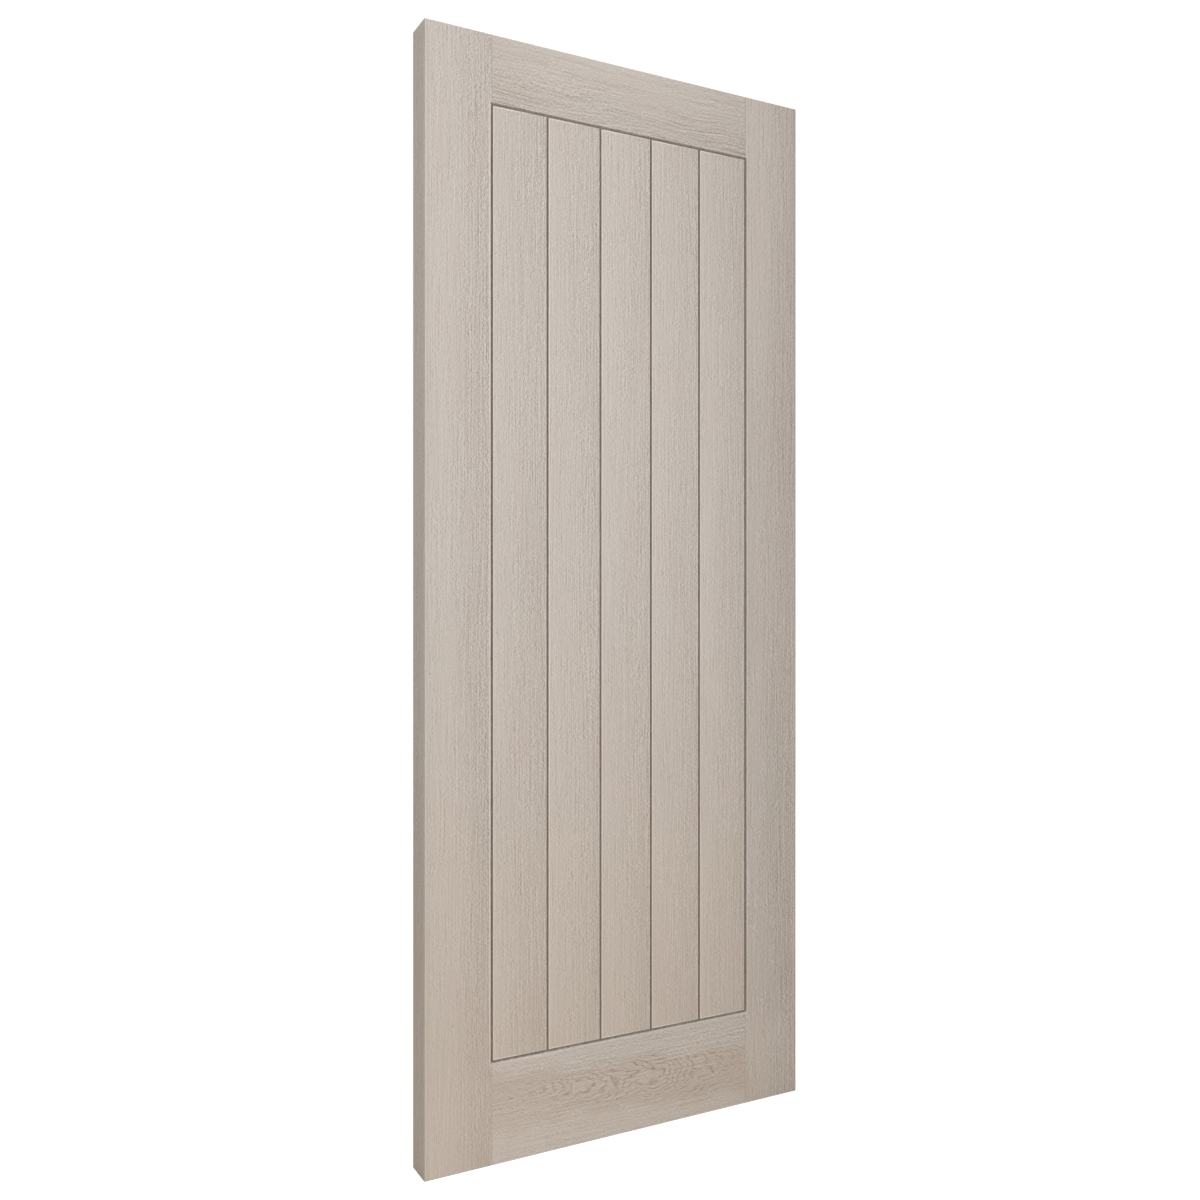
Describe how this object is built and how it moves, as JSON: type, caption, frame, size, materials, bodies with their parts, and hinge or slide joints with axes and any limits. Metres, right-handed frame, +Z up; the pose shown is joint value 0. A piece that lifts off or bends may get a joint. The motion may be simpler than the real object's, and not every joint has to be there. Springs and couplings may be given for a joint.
{
  "type": "fire door leaf",
  "caption": "Flush oak-faced fire door leaf: stiles and rails round a V-grooved panel of upright boards on both faces, with lipped long edges that take hinges and a latch.",
  "frame": {"origin": "foot of the hanging edge, at mid thickness, on the flat face that the hinges are let into", "axes": "+X across the leaf to the closing edge, +Y through the leaf from front to back, +Z up"},
  "size_m": [0.838, 0.044, 1.981],
  "materials": {
    "oak_stile": "washed pale oak, matt lacquer, upright grain",
    "oak_board": "washed pale oak, matt lacquer, upright grain",
    "oak_rail": "washed pale oak, matt lacquer, level grain",
    "oak_lipping": "washed pale oak, matt lacquer, upright grain",
    "timber_core": "bare sawn timber and board, seen only on the top and bottom edges"
  },
  "bodies": {
    "root": {"hanging_stile_core": "timber_core", "closing_stile_core": "timber_core", "bottom_rail_core": "timber_core", "top_rail_core": "timber_core", "panel_core": "timber_core", "hanging_lipping": "oak_lipping", "closing_lipping": "oak_lipping", "front_hanging_stile_face": "oak_stile", "front_closing_stile_face": "oak_stile", "front_bottom_rail_face": "oak_rail", "front_top_rail_face": "oak_rail", "front_board_1": "oak_board", "front_board_2": "oak_board", "front_board_3": "oak_board", "front_board_4": "oak_board", "front_board_5": "oak_board", "back_hanging_stile_face": "oak_stile", "back_closing_stile_face": "oak_stile", "back_bottom_rail_face": "oak_rail", "back_top_rail_face": "oak_rail", "back_board_1": "oak_board", "back_board_2": "oak_board", "back_board_3": "oak_board", "back_board_4": "oak_board", "back_board_5": "oak_board"}
  },
  "joints": []
}
